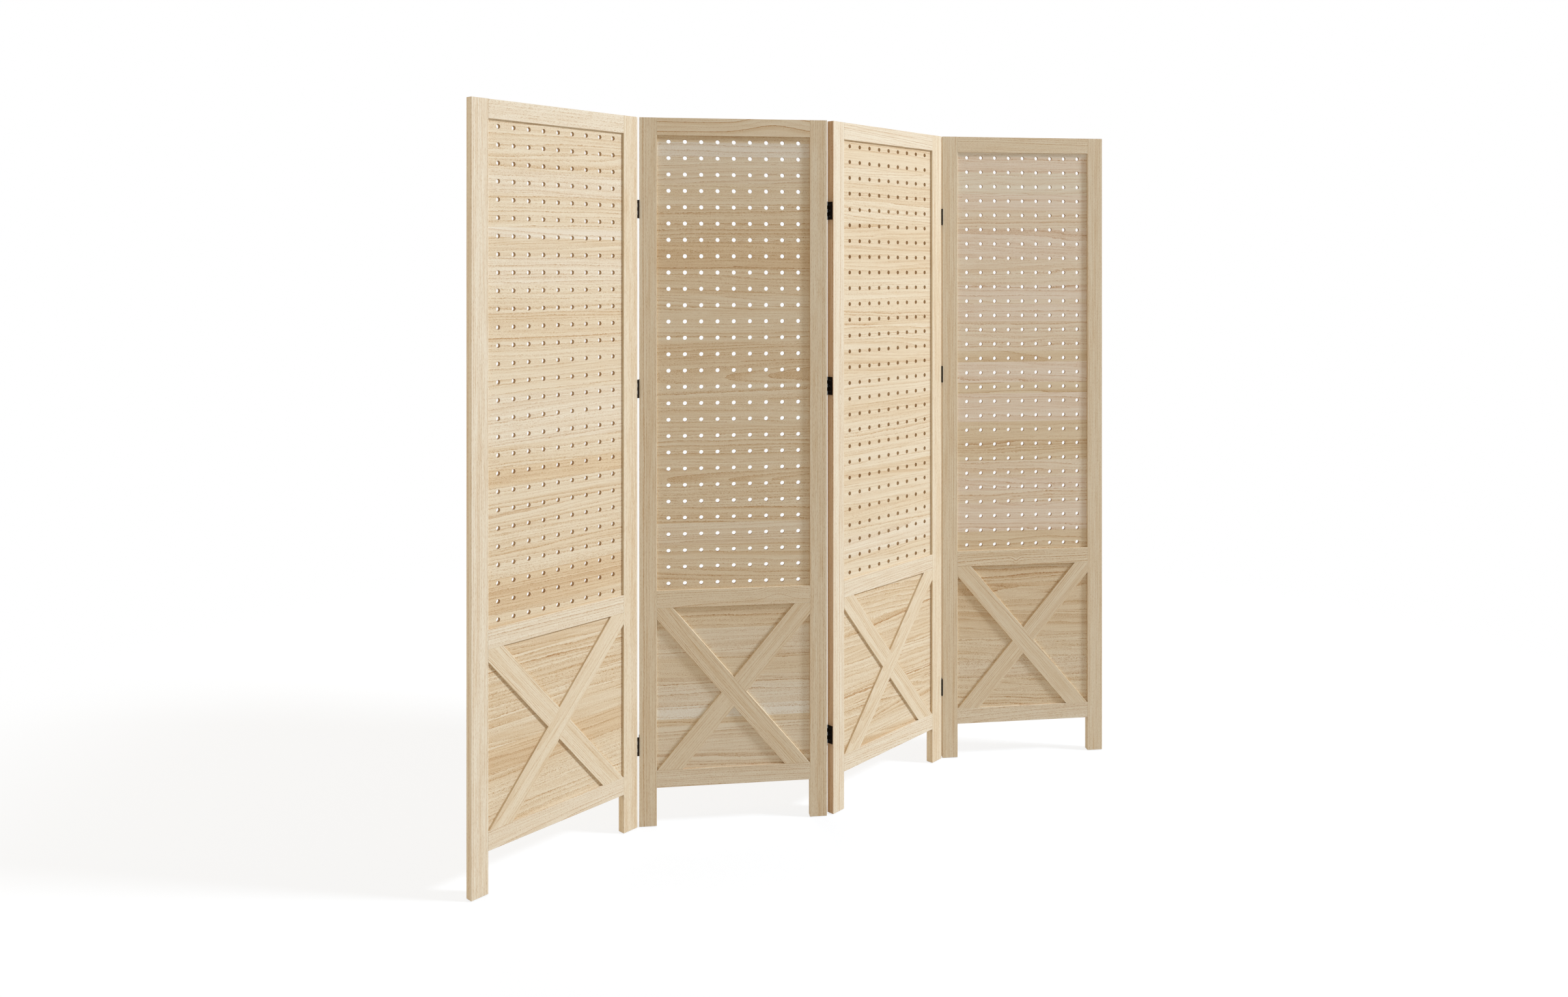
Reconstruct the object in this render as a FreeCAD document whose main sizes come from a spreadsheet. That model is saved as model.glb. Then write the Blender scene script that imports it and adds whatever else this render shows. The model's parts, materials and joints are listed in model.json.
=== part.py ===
import FreeCAD, Part
import math
import os
import re
import Sketcher

# A folding screen of four hinged wooden panels.
# Every panel stands in its own frame while it is built: X runs along the panel from its
# left edge, Y from the front face to the back face and Z up from the floor.
# The second and fourth panels are parallel to the X axis of the whole screen and the first
# and third are turned by the fold angle. The origin of the whole screen is on the floor,
# under the middle of its bounding box.

document = FreeCAD.newDocument("folding_screen")
sheet = document.addObject("Spreadsheet::Sheet", "Sizes")
vector = FreeCAD.Vector
upAxis = vector(0, 0, 1)

# Driving sizes, in millimetres, degrees and plain counts
drivingSizes = {
    "screen_height": 1700,
    "panel_width": 455,
    "panel_thickness": 19,
    "fold_angle": 40,
    "stile_width": 42,
    "rail_width": 42,
    "leg_height": 91,
    "lower_opening": 388.5,
    "edge_bevel": 0.5,
    "board_thickness": 8,
    "groove_depth": 6,
    "groove_clearance": 0.2,
    "tongue_shoulder": 6,
    "hole_diameter": 10,
    "hole_pitch": 39.4,
    "least_hole_margin": 12,
    "brace_width": 46,
    "brace_foot_offset": 1.5,
    "brace_head_offset": 37.5,
    "glide_height": 1.5,
    "glide_diameter": 11.5,
    "glide_bevel": 0.4,
    "glide_stem_diameter": 4,
    "glide_stem_length": 12,
    "hinge_height": 44,
    "hinge_top_drop": 220,
    "hinge_middle_drop": 650,
    "hinge_foot_rise": 194,
    "barrel_diameter": 4,
    "barrel_standoff": 1,
    "knuckle_count": 5,
    "knuckle_gap": 0.15,
    "swing_clearance": 0.25,
    "leaf_thickness": 1,
    "leaf_margin": 2,
    "pin_diameter": 2,
    "running_clearance": 0.05,
    "screw_spacing": 14,
    "screw_length": 14,
    "screw_diameter": 2.6,
    "screw_point_length": 3,
    "screw_head_diameter": 5,
    "screw_clearance": 0.1,
    "recess_length": 2.8,
    "recess_width": 0.7,
    "recess_depth": 0.6,
    "overrun": 5,
}

# Sizes that follow from the driving ones
derivedSizes = {
    "opening_width": "panel_width - 2 * stile_width",
    "face_recess": "(panel_thickness - board_thickness) / 2",
    "groove_front": "face_recess - groove_clearance",
    "groove_back": "panel_thickness - face_recess + groove_clearance",
    "board_entry": "groove_depth - groove_clearance",
    "bottom_rail_base": "glide_height + leg_height",
    "lower_opening_base": "bottom_rail_base + rail_width",
    "mid_rail_base": "lower_opening_base + lower_opening",
    "peg_opening_base": "mid_rail_base + rail_width",
    "top_rail_base": "screen_height - rail_width",
    "peg_opening": "top_rail_base - peg_opening_base",
    "hole_columns": "floor((opening_width - 2 * least_hole_margin) / hole_pitch) + 1",
    "hole_rows": "floor((peg_opening - 2 * least_hole_margin) / hole_pitch) + 1",
    "grid_width": "(hole_columns - 1) * hole_pitch",
    "grid_rise": "(hole_rows - 1) * hole_pitch",
    "first_hole_x": "(panel_width - grid_width) / 2",
    "first_hole_z": "peg_opening_base + (peg_opening - grid_rise) / 2",
    "barrel_radius": "barrel_diameter / 2",
    "bore_radius": "pin_diameter / 2 + running_clearance",
    "knuckle_length": "(hinge_height - (knuckle_count - 1) * knuckle_gap) / knuckle_count",
    "leaf_reach": "barrel_standoff + panel_thickness - leaf_margin",
    "screw_line": "barrel_standoff + (panel_thickness - leaf_margin) / 2",
    "pilot_radius": "screw_diameter / 2 + screw_clearance",
    "pilot_depth": "screw_length - leaf_thickness + screw_clearance",
}

for row, (alias, value) in enumerate({**drivingSizes, **derivedSizes}.items(), start=1):
    sheet.set(f"A{row}", alias)
    sheet.set(f"B{row}", f"={value}" if alias in derivedSizes else str(value))
    sheet.setAlias(f"B{row}", alias)
document.recompute()


def onSheet(formula):
    """The formula with every size's name pointing at its cell."""
    return re.sub(r"[a-z_]{3,}", lambda found: f"Sizes.{found.group()}", formula)


def size(formula):
    """The formula's value."""
    return float(sheet.evalExpression(onSheet(formula)))


def bind(item, **formulas):
    for name, formula in formulas.items():
        item.setExpression(name, onSheet(formula))


def originFeature(body, role):
    return next(feature for feature in body.Origin.OriginFeatures if feature.Role == role)


def newBody(name):
    return document.addObject("PartDesign::Body", name)


def newSketch(body, name, role, lift="0"):
    """An empty sketch on one of the body's own origin planes, lifted along its normal."""
    sketch = body.newObject("Sketcher::SketchObject", name)
    sketch.AttachmentSupport = (originFeature(body, role), [""])
    sketch.MapMode = "FlatFace"
    sketch.setExpression("AttachmentOffset.Base.z", onSheet(lift))
    return sketch


def pinPoint(sketch, geometry, point, across, up):
    """Hold a point at two formulas' distances from the sketch's own origin."""
    for kind, axis, formula in (("DistanceX", -2, across), ("DistanceY", -1, up)):
        if formula == "0":
            sketch.addConstraint(Sketcher.Constraint("PointOnObject", geometry, point, axis))
        else:
            held = Sketcher.Constraint(kind, -1, 1, geometry, point, size(formula))
            index = sketch.addConstraint(held)
            sketch.setExpression(f"Constraints[{index}]", onSheet(formula))


def addOutline(sketch, corners):
    """A closed outline through corners that are each two formulas."""
    points = [vector(size(across), size(up), 0) for across, up in corners]
    first = sketch.GeometryCount
    count = len(points)
    for index in range(count):
        sketch.addGeometry(Part.LineSegment(points[index], points[(index + 1) % count]))
    for index in range(count):
        following = first + (index + 1) % count
        sketch.addConstraint(Sketcher.Constraint("Coincident", first + index, 2, following, 1))
    for index, (across, up) in enumerate(corners):
        pinPoint(sketch, first + index, 1, across, up)


def addRectangle(sketch, left, low, right, high):
    addOutline(sketch, [(left, low), (right, low), (right, high), (left, high)])


def addCircle(sketch, across, up, radius):
    middle = vector(size(across), size(up), 0)
    geometry = sketch.addGeometry(Part.Circle(middle, upAxis, size(radius)))
    pinPoint(sketch, geometry, 3, across, up)
    index = sketch.addConstraint(Sketcher.Constraint("Radius", geometry, size(radius)))
    sketch.setExpression(f"Constraints[{index}]", onSheet(radius))


def addPad(body, sketch, length, backwards=False, both=False):
    pad = body.newObject("PartDesign::Pad", f"{sketch.Name}_pad")
    pad.Profile = sketch
    pad.Reversed = backwards
    pad.Midplane = both
    bind(pad, Length=length)
    sketch.Visibility = False
    return pad


def addPocket(body, sketch, length, backwards=False, both=False):
    """A pocket that has to take material away."""
    before = body.Shape.Volume
    pocket = body.newObject("PartDesign::Pocket", f"{sketch.Name}_pocket")
    pocket.Profile = sketch
    pocket.Reversed = backwards
    pocket.Midplane = both
    bind(pocket, Length=length)
    document.recompute()
    if not body.Shape.Volume < before:
        raise ValueError(f"{pocket.Name} cuts nothing")
    return pocket


nodes = {}


def keep(item, node, placement):
    """Name a finished sub-part and put it in its place."""
    item.Label = node
    item.Placement = placement
    nodes[node] = item


def keepGroup(node, shapes, placement):
    """Several separate solids of one kind, kept as one sub-part."""
    group = document.addObject("Part::Feature", node)
    group.Shape = Part.makeCompound(shapes)
    keep(group, node, placement)


def copyAt(item, placement):
    """A copy of a master piece's shape at a place of its own."""
    shape = item.Shape.copy()
    shape.Placement = placement.multiply(shape.Placement)
    return shape


def at(x, y, z, rotation=FreeCAD.Rotation()):
    return FreeCAD.Placement(vector(x, y, z), rotation)


# Plan of the zigzag
width = size("panel_width")
thickness = size("panel_thickness")
foldAngle = size("fold_angle")
standoff = size("barrel_standoff")
barrelRadius = size("barrel_radius")

# The pin line of a hinge, in the frame of the panel whose edge carries the leaf
pivots = {
    ("left", "front"): vector(-barrelRadius, -standoff, 0),
    ("left", "back"): vector(-barrelRadius, thickness + standoff, 0),
    ("right", "front"): vector(width + barrelRadius, -standoff, 0),
    ("right", "back"): vector(width + barrelRadius, thickness + standoff, 0),
}


def hungPanel(angle, ownPivot, sharedPivot):
    """The placement that turns a panel and brings its pivot to its neighbour's."""
    rotation = FreeCAD.Rotation(upAxis, angle)
    return FreeCAD.Placement(sharedPivot - rotation.multVec(ownPivot), rotation)


def zigzag(second):
    first = hungPanel(foldAngle, pivots["right", "front"], second.multVec(pivots["left", "front"]))
    third = hungPanel(foldAngle, pivots["left", "back"], second.multVec(pivots["right", "back"]))
    fourth = hungPanel(0, pivots["left", "front"], third.multVec(pivots["right", "front"]))
    return [first, second, third, fourth]


bevel = size("edge_bevel")
panelCorners = [vector(x, y, 0) for x in (0, width) for y in (bevel, thickness - bevel)]
panelCorners += [vector(x, y, 0) for x in (bevel, width - bevel) for y in (0, thickness)]
plan = [panel.multVec(corner) for panel in zigzag(at(0, 0, 0)) for corner in panelCorners]
middleX = (min(point.x for point in plan) + max(point.x for point in plan)) / 2
middleY = (min(point.y for point in plan) + max(point.y for point in plan)) / 2
panelPlaces = zigzag(at(-middleX, -middleY, 0))

# Which edges of each panel carry hinges and on which face their pins lie, and whether the
# brace that runs through rises to the right
panels = [
    {"name": "panel_1", "hinges": {"right": "front"}, "rising": True},
    {"name": "panel_2", "hinges": {"left": "front", "right": "back"}, "rising": False},
    {"name": "panel_3", "hinges": {"left": "back", "right": "front"}, "rising": True},
    {"name": "panel_4", "hinges": {"left": "front"}, "rising": False},
]

halfTurn = FreeCAD.Rotation(upAxis, 180)
turnedRound = at(width, thickness, 0, halfTurn)

hingeHeights = [
    "screen_height - hinge_top_drop",
    "screen_height - hinge_middle_drop",
    "hinge_foot_rise",
]
screwSteps = ["- screw_spacing", "+ 0", "+ screw_spacing"]


def makeStile(panel, side, panelPlace):
    """An upright that runs down as a leg, with its outer edge at X = 0 of its own frame."""
    name = f"{panel['name']}_{side}_stile"
    body = newBody(name)
    section = newSketch(body, f"{name}_section", "XY_Plane", "glide_height")
    addOutline(section, [
        ("edge_bevel", "0"),
        ("stile_width - edge_bevel", "0"),
        ("stile_width", "edge_bevel"),
        ("stile_width", "panel_thickness - edge_bevel"),
        ("stile_width - edge_bevel", "panel_thickness"),
        ("edge_bevel", "panel_thickness"),
        ("0", "panel_thickness - edge_bevel"),
        ("0", "edge_bevel"),
    ])
    addPad(body, section, "screen_height - glide_height")
    document.recompute()

    groove = newSketch(body, f"{name}_groove", "YZ_Plane", "stile_width - groove_depth")
    grooveBase = "bottom_rail_base + tongue_shoulder"
    grooveTop = "screen_height - tongue_shoulder"
    addRectangle(groove, "groove_front", grooveBase, "groove_back", grooveTop)
    addPocket(body, groove, "groove_depth + overrun", backwards=True)

    stemHole = newSketch(body, f"{name}_stem_hole", "XY_Plane", "glide_height")
    stemRadius = "glide_stem_diameter / 2 + screw_clearance"
    addCircle(stemHole, "stile_width / 2", "panel_thickness / 2", stemRadius)
    addPocket(body, stemHole, "glide_stem_length + screw_clearance", backwards=True)

    if side in panel["hinges"]:
        # The right stile is turned round, which swaps its front and its back
        onFront = (panel["hinges"][side] == "front") == (side == "left")
        fromFace = "screw_line - barrel_standoff"
        across = fromFace if onFront else f"panel_thickness - ({fromFace})"
        pilots = newSketch(body, f"{name}_pilots", "YZ_Plane")
        for height in hingeHeights:
            for step in screwSteps:
                addCircle(pilots, across, f"{height} {step}", "pilot_radius")
        addPocket(body, pilots, "pilot_depth", backwards=True)

    own = at(0, 0, 0) if side == "left" else turnedRound
    keep(body, name, panelPlace.multiply(own))


def makeRail(panel, kind, base, grooveBelow, grooveAbove, panelPlace):
    """A crosspiece with board grooves along its edges and a tongue at each end."""
    name = f"{panel['name']}_{kind}_rail"
    top = f"{base} + rail_width"
    outline = [("edge_bevel", base)]
    if grooveBelow:
        depth = f"{base} + groove_depth"
        outline += [("groove_front", base), ("groove_front", depth)]
        outline += [("groove_back", depth), ("groove_back", base)]
    outline += [("panel_thickness - edge_bevel", base), ("panel_thickness", f"{base} + edge_bevel")]
    outline += [("panel_thickness", f"{top} - edge_bevel"), ("panel_thickness - edge_bevel", top)]
    if grooveAbove:
        depth = f"{top} - groove_depth"
        outline += [("groove_back", top), ("groove_back", depth)]
        outline += [("groove_front", depth), ("groove_front", top)]
    outline += [("edge_bevel", top), ("0", f"{top} - edge_bevel"), ("0", f"{base} + edge_bevel")]

    body = newBody(name)
    section = newSketch(body, f"{name}_section", "YZ_Plane", "stile_width")
    addOutline(section, outline)
    addPad(body, section, "opening_width")
    tongue = newSketch(body, f"{name}_tongue", "YZ_Plane", "panel_width / 2")
    tongueBase = f"{base} + " + ("groove_depth" if grooveBelow else "tongue_shoulder")
    tongueTop = f"{top} - " + ("groove_depth" if grooveAbove else "tongue_shoulder")
    addRectangle(tongue, "face_recess", tongueBase, "panel_thickness - face_recess", tongueTop)
    addPad(body, tongue, "opening_width + 2 * board_entry", both=True)
    keep(body, name, panelPlace)


def makePegboard(panel, panelPlace):
    """A board with a square grid of holes through it."""
    name = f"{panel['name']}_pegboard"
    body = newBody(name)
    face = newSketch(body, f"{name}_face", "XZ_Plane", "- face_recess")
    left = "stile_width - board_entry"
    right = "panel_width - stile_width + board_entry"
    low = "peg_opening_base - board_entry"
    high = "top_rail_base + board_entry"
    addRectangle(face, left, low, right, high)
    addPad(body, face, "board_thickness", backwards=True)
    document.recompute()
    hole = newSketch(body, f"{name}_hole", "XZ_Plane")
    addCircle(hole, "first_hole_x", "first_hole_z", "hole_diameter / 2")
    pocket = addPocket(body, hole, "2 * panel_thickness", both=True)
    grid = body.newObject("PartDesign::MultiTransform", f"{name}_grid")
    grid.Originals = [pocket]
    rows = body.newObject("PartDesign::LinearPattern", f"{name}_rows")
    rows.Direction = (originFeature(body, "Z_Axis"), [""])
    bind(rows, Length="grid_rise", Occurrences="hole_rows")
    columns = body.newObject("PartDesign::LinearPattern", f"{name}_columns")
    columns.Direction = (originFeature(body, "X_Axis"), [""])
    bind(columns, Length="grid_width", Occurrences="hole_columns")
    grid.Transformations = [rows, columns]
    body.Tip = grid
    keep(body, name, panelPlace)


def makeLowerBoard(panel, panelPlace):
    """A plain board held in the grooves round the lower opening."""
    name = f"{panel['name']}_lower_board"
    board = document.addObject("Part::Box", name)
    bind(board, Length="opening_width + 2 * board_entry")
    bind(board, Width="board_thickness")
    bind(board, Height="lower_opening + 2 * board_entry")
    corner = at(
        size("stile_width - board_entry"),
        size("face_recess"),
        size("lower_opening_base - board_entry"),
    )
    keep(board, name, panelPlace.multiply(corner))


# The X brace over the lower board
braceRun = size("opening_width - brace_head_offset - brace_foot_offset")
braceAngle = math.atan2(size("lower_opening"), braceRun)
blankLength = "2 * (opening_width + lower_opening)"


def makeBraceBlank(rising):
    """A batten longer than its brace, with its outer edge on the line of that edge."""
    name = "rising_blank" if rising else "falling_blank"
    body = newBody(name)
    section = newSketch(body, f"{name}_section", "YZ_Plane")
    addOutline(section, [
        ("edge_bevel", "0"),
        ("face_recess", "0"),
        ("face_recess", "brace_width"),
        ("edge_bevel", "brace_width"),
        ("0", "brace_width - edge_bevel"),
        ("0", "edge_bevel"),
    ])
    addPad(body, section, blankLength, both=True)
    lean = -1 if rising else 1
    rotation = FreeCAD.Rotation(vector(0, 1, 0), lean * math.degrees(braceAngle))
    footX = "stile_width + brace_foot_offset"
    foot = vector(size(footX if rising else f"panel_width - ({footX})"), 0, size("lower_opening_base"))
    toInnerEdge = rotation.multVec(vector(0, 0, -size("brace_width")))
    body.Placement = FreeCAD.Placement(foot + toInnerEdge, rotation)
    return body


def makeOpeningBlock():
    """The clear space in front of the lower board."""
    block = document.addObject("Part::Box", "lower_opening_block")
    bind(block, Length="opening_width", Width="face_recess", Height="lower_opening")
    block.Placement = at(size("stile_width"), 0, size("lower_opening_base"))
    return block


def booleanOf(kind, name, base, tool):
    result = document.addObject(f"Part::{kind}", name)
    result.Base = base
    result.Tool = tool
    return result


openingBlock = makeOpeningBlock()
blanks = {rising: makeBraceBlank(rising) for rising in (True, False)}
longBraces = {}
splitBraces = {}
for rising, blank in blanks.items():
    suffix = "rising" if rising else "falling"
    longBraces[rising] = booleanOf("Common", f"long_brace_{suffix}", blank, openingBlock)
for rising, blank in blanks.items():
    suffix = "rising" if rising else "falling"
    crossing = longBraces[not rising]
    splitBraces[rising] = booleanOf("Cut", f"half_braces_beside_{suffix}", crossing, blank)
document.recompute()


def makeBraces(panel, panelPlace):
    """The same X on both faces: the back one is the front one turned round."""
    name = panel["name"]
    longBrace = longBraces[panel["rising"]]
    keepGroup(f"{name}_long_brace_front", [longBrace.Shape.copy()], panelPlace)
    keepGroup(f"{name}_long_brace_back", [copyAt(longBrace, turnedRound)], panelPlace)
    halves = splitBraces[panel["rising"]]
    both = halves.Shape.Solids + copyAt(halves, turnedRound).Solids
    keepGroup(f"{name}_half_braces", both, panelPlace)


# Glide: a disc with a bevelled rim on a stem that is driven into the leg
def makeGlideMaster():
    body = newBody("glide_master")
    outline = newSketch(body, "glide_outline", "XZ_Plane")
    radius = "glide_diameter / 2"
    stem = "glide_stem_diameter / 2"
    addOutline(outline, [
        ("0", "0"),
        (f"{radius} - glide_bevel", "0"),
        (radius, "glide_bevel"),
        (radius, "glide_height"),
        (stem, "glide_height"),
        (stem, "glide_height + glide_stem_length"),
        ("0", "glide_height + glide_stem_length"),
    ])
    turned = body.newObject("PartDesign::Revolution", "glide_turned")
    turned.Profile = outline
    turned.ReferenceAxis = (outline, ["V_Axis"])
    turned.Angle = 360
    return body


def legCentres():
    """The places of a panel's two legs."""
    inset = size("stile_width / 2")
    return [vector(x, thickness / 2, 0) for x in (inset, width - inset)]


# Countersunk wood screw, its head's face at Z = 0 and its point towards -Z
def makeScrewMaster():
    body = newBody("screw_master")
    outline = newSketch(body, "screw_outline", "XZ_Plane")
    shank = "screw_diameter / 2"
    addOutline(outline, [
        ("0", "0"),
        ("0", "- screw_length"),
        (shank, "screw_point_length - screw_length"),
        (shank, "- leaf_thickness"),
        ("screw_head_diameter / 2", "0"),
    ])
    turned = body.newObject("PartDesign::Revolution", "screw_turned")
    turned.Profile = outline
    turned.ReferenceAxis = (outline, ["V_Axis"])
    turned.Angle = 360
    document.recompute()
    recess = newSketch(body, "screw_recess", "XY_Plane")
    wing = "recess_length / 2"
    web = "recess_width / 2"
    addOutline(recess, [
        (web, web), (wing, web), (wing, f"-({web})"), (web, f"-({web})"),
        (web, f"-({wing})"), (f"-({web})", f"-({wing})"), (f"-({web})", f"-({web})"),
        (f"-({wing})", f"-({web})"), (f"-({wing})", web), (f"-({web})", web),
        (f"-({web})", wing), (web, wing),
    ])
    addPocket(body, recess, "recess_depth")
    return body


def makePinMaster():
    pin = document.addObject("Part::Cylinder", "pin_master")
    bind(pin, Radius="pin_diameter / 2", Height="hinge_height")
    pin.Placement = at(0, 0, -size("hinge_height / 2"))
    return pin


def makeLeafMaster(name, ownKnuckles, otherKnuckles):
    """A leaf and its knuckles round the pin line.

    X runs from the pin line towards the wood, Y from the pin line across the panel's edge.
    """
    body = newBody(name)
    plate = newSketch(body, f"{name}_plate", "XY_Plane")
    inner = "barrel_radius - leaf_thickness"
    addRectangle(plate, inner, "0", "barrel_radius", "leaf_reach")
    addPad(body, plate, "hinge_height", both=True)
    document.recompute()
    swing = "barrel_radius + swing_clearance"
    for count in otherKnuckles:
        low = f"{count} * (knuckle_length + knuckle_gap) - knuckle_gap - hinge_height / 2"
        high = f"({count} + 1) * (knuckle_length + knuckle_gap) - hinge_height / 2"
        notch = newSketch(body, f"{name}_notch_{count}", "YZ_Plane")
        addRectangle(notch, "-overrun", low, swing, high)
        addPocket(body, notch, "2 * barrel_diameter", both=True)
    for count in ownKnuckles:
        lift = f"{count} * (knuckle_length + knuckle_gap) - hinge_height / 2"
        knuckle = newSketch(body, f"{name}_knuckle_{count}", "XY_Plane", lift)
        addCircle(knuckle, "0", "0", "barrel_radius")
        addPad(body, knuckle, "knuckle_length")
    document.recompute()
    bore = newSketch(body, f"{name}_bore", "XY_Plane")
    addCircle(bore, "0", "0", "bore_radius")
    addPocket(body, bore, "2 * hinge_height", both=True)
    holes = newSketch(body, f"{name}_screw_holes", "YZ_Plane", inner)
    for step in screwSteps:
        addCircle(holes, "screw_line", f"0 {step}", "screw_head_diameter / 2 + screw_clearance")
    sunk = addPocket(body, holes, "leaf_thickness", backwards=True)
    sunk.TaperAngle = -math.degrees(math.atan2(
        size("screw_head_diameter / 2 - screw_diameter / 2"), size("leaf_thickness")))
    return body


glide = makeGlideMaster()
screw = makeScrewMaster()
pin = makePinMaster()
knuckles = range(int(size("knuckle_count")))
outerKnuckles = [count for count in knuckles if count % 2 == 0]
innerKnuckles = [count for count in knuckles if count % 2 == 1]
outerLeaf = makeLeafMaster("outer_leaf_master", outerKnuckles, innerKnuckles)
innerLeaf = makeLeafMaster("inner_leaf_master", innerKnuckles, outerKnuckles)
document.recompute()

# How a leaf is turned for the edge and the face that it serves
leafTurns = {
    ("left", "front"): FreeCAD.Rotation(),
    ("left", "back"): FreeCAD.Rotation(vector(1, 0, 0), 180),
    ("right", "front"): FreeCAD.Rotation(vector(0, 1, 0), 180),
    ("right", "back"): FreeCAD.Rotation(upAxis, 180),
}
screwTurn = FreeCAD.Rotation(vector(0, 1, 0), -90)


def leafPlaces(side, face):
    """The placements of one edge's three leaves in the panel's frame."""
    pivot = pivots[side, face]
    turn = leafTurns[side, face]
    return [at(pivot.x, pivot.y, size(height), turn) for height in hingeHeights]


def makeHingeScrews(panel, panelPlace):
    head = size("barrel_radius - leaf_thickness")
    line = size("screw_line")
    shapes = []
    for side, face in panel["hinges"].items():
        for place in leafPlaces(side, face):
            for step in screwSteps:
                own = at(head, line, size(f"0 {step}"), screwTurn)
                shapes.append(copyAt(screw, place.multiply(own)))
    keepGroup(f"{panel['name']}_hinge_screws", shapes, panelPlace)


for panel, panelPlace in zip(panels, panelPlaces):
    makeStile(panel, "left", panelPlace)
    makeStile(panel, "right", panelPlace)
    makeRail(panel, "bottom", "bottom_rail_base", False, True, panelPlace)
    makeRail(panel, "mid", "mid_rail_base", True, True, panelPlace)
    makeRail(panel, "top", "top_rail_base", True, False, panelPlace)
    makePegboard(panel, panelPlace)
    makeLowerBoard(panel, panelPlace)
    makeBraces(panel, panelPlace)
    glides = [copyAt(glide, at(*centre)) for centre in legCentres()]
    keepGroup(f"{panel['name']}_foot_glides", glides, panelPlace)
    makeHingeScrews(panel, panelPlace)

# Each joint joins the right edge of one panel to the left edge of the next
for count in range(len(panels) - 1):
    face = panels[count]["hinges"]["right"]
    name = f"hinges_{count + 1}_{count + 2}"
    leftPlaces = leafPlaces("right", face)
    rightPlaces = leafPlaces("left", face)
    leftLeaves = [copyAt(outerLeaf, place) for place in leftPlaces]
    rightLeaves = [copyAt(innerLeaf, place) for place in rightPlaces]
    pins = [copyAt(pin, place) for place in leftPlaces]
    keepGroup(f"{name}_left_leaves", leftLeaves, panelPlaces[count])
    keepGroup(f"{name}_right_leaves", rightLeaves, panelPlaces[count + 1])
    keepGroup(f"{name}_pins", pins, panelPlaces[count])
    pinLine = panelPlaces[count].multVec(pivots["right", face])
    print(f"{name} pin line at X {pinLine.x:.4f} Y {pinLine.y:.4f}")

document.recompute()
for item in document.Objects:
    if "Invalid" in item.State or "Error" in item.State:
        raise ValueError(f"{item.Name} did not build: {item.State}")
for node, item in nodes.items():
    if item.Shape.isNull() or not item.Shape.isValid():
        raise ValueError(f"{node} has no valid shape")

for panel, place in zip(panels, panelPlaces):
    base = place.Base
    print(f"{panel['name']} left front edge at X {base.x:.4f} Y {base.y:.4f}")
firstHole = panelPlaces[1].multVec(vector(size("first_hole_x"), size("face_recess"), size("first_hole_z")))
print(f"panel_2 lowest left peg hole at {firstHole.x:.4f}, {firstHole.y:.4f}, {firstHole.z:.4f}")

os.makedirs("parts", exist_ok=True)
for node, item in nodes.items():
    item.Shape.exportStep(f"parts/{node}.step")
print(f"{len(nodes)} sub-parts written")
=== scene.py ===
import json
import math
import random

import bpy
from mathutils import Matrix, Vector

# Folding screen of four pale wooden panels, dressed for a photograph.
# Lengths are in metres, apart from the sizes of the grain and the tops of the boards' strips,
# which are in millimetres.

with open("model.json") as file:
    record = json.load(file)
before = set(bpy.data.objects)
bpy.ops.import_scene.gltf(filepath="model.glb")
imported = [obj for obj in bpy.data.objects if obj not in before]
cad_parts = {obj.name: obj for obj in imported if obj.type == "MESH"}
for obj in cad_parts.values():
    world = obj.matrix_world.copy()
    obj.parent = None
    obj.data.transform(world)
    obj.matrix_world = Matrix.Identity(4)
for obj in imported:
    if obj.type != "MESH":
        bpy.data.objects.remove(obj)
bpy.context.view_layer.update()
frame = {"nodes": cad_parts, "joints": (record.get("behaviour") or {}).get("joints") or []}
print("frame loaded with", len(frame["nodes"]), "nodes")

scene = bpy.context.scene
millimetres = 1000.0  # in a metre


# Node trees

def addNode(tree, kind, inputs=None, **settings):
    node = tree.nodes.new(kind)
    for name, value in settings.items():
        setattr(node, name, value)
    for name, value in (inputs or {}).items():
        plug(tree, node.inputs[name], value)
    return node


def plug(tree, socket, value):
    if isinstance(value, bpy.types.NodeSocket):
        tree.links.new(value, socket)
    else:
        socket.default_value = value


def calc(tree, operation, *values, clamp=False):
    node = tree.nodes.new("ShaderNodeMath")
    node.operation = operation
    node.use_clamp = clamp
    for socket, value in zip(node.inputs, values):
        plug(tree, socket, value)
    return node.outputs[0]


def smoothStep(tree, value, low, high):
    node = addNode(tree, "ShaderNodeMapRange", interpolation_type="SMOOTHSTEP",
                   inputs={"Value": value, "From Min": low, "From Max": high})
    return node.outputs[0]


def partOf(tree, vector, axis):
    return addNode(tree, "ShaderNodeSeparateXYZ", inputs={0: vector}).outputs[axis]


def mixColours(tree, factor, first, second, blend="MIX"):
    # the mix node keeps its colours in sockets 6 and 7
    node = addNode(tree, "ShaderNodeMix", data_type="RGBA", blend_type=blend,
                   inputs={0: factor, 6: first, 7: second})
    return node.outputs[2]


def scaledNoise(tree, vector, sizes, detail=2.0, roughness=0.5):
    # Noise whose blobs are about as large as sizes, in the vector's own unit
    scaled = addNode(tree, "ShaderNodeVectorMath", operation="MULTIPLY",
                     inputs={0: vector, 1: tuple(1 / size for size in sizes)})
    noise = addNode(tree, "ShaderNodeTexNoise",
                    inputs={"Vector": scaled.outputs[0], "Scale": 1.0, "Detail": detail,
                            "Roughness": roughness})
    return noise.outputs[0]


def evenNoise(tree, vector, sizes, detail):
    # The same, swinging evenly to both sides of nought
    return calc(tree, "SUBTRACT", scaledNoise(tree, vector, sizes, detail), 0.5)


def newMaterial(name):
    material = bpy.data.materials.new(name)
    material.use_nodes = True
    material.node_tree.nodes.clear()
    output = material.node_tree.nodes.new("ShaderNodeOutputMaterial")
    return material, material.node_tree, output


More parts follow.
